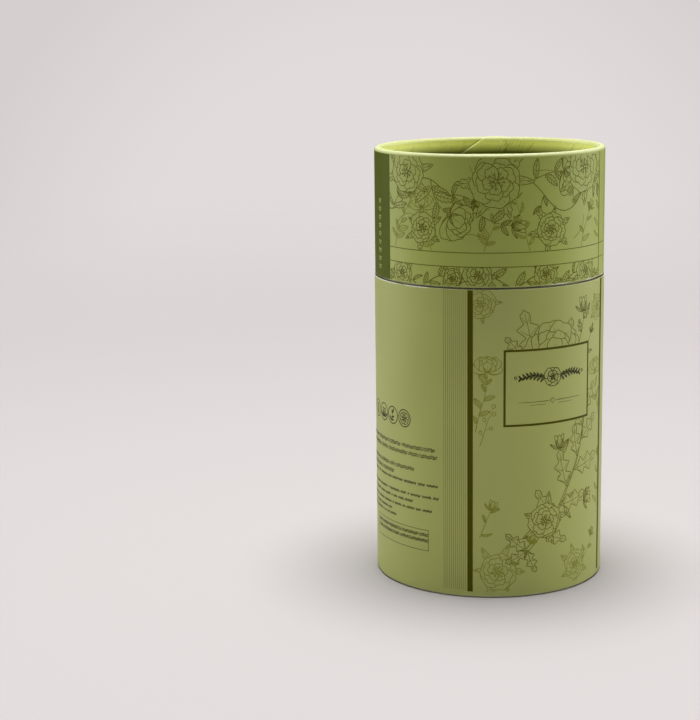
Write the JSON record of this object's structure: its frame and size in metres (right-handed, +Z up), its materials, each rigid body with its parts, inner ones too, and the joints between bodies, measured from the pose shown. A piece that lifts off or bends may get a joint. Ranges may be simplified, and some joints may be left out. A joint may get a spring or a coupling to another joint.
{
  "type": "cylindrical gift tube box",
  "caption": "Round paperboard gift tube with a lift-off lid that slips over a fixed inner neck, rolled rims and recessed end discs.",
  "frame": {"origin": "centre of the foot, on the surface that the tube stands on", "axes": "+Z up along the tube's axis; -Y is the front, through the middle of the printed label frame"},
  "size_m": [0.083, 0.083, 0.156],
  "materials": {
    "printed_paper": "matt laminated olive print",
    "tube_board": "raw white-lined board",
    "white_paper": "uncoated",
    "neck_paper": "uncoated"
  },
  "bodies": {
    "base": {"base_outer_tube": "tube_board", "base_printed_wrap": "printed_paper", "base_inner_ply": "white_paper", "bottom_disc": "tube_board", "bottom_disc_facing": "printed_paper", "bottom_disc_lining": "white_paper", "neck_tube": "tube_board", "neck_facing": "neck_paper", "neck_lining": "white_paper"},
    "lid_lining": {"lid_inner_ply": "white_paper", "top_disc_lining": "white_paper"},
    "lid": {"lid_outer_tube": "tube_board", "lid_printed_wrap": "printed_paper", "top_disc": "tube_board", "top_disc_facing": "printed_paper"}
  },
  "joints": [
    {"name": "lid_lift", "type": "slide", "parent": "base", "child": "lid_lining", "axis": [0, 0, 1], "range_m": [0, 0.06]},
    {"name": "lid_turn", "type": "hinge", "parent": "lid_lining", "child": "lid", "pos_m": [0, 0, 0.13], "axis": [0, 0, 1], "continuous": true}
  ]
}
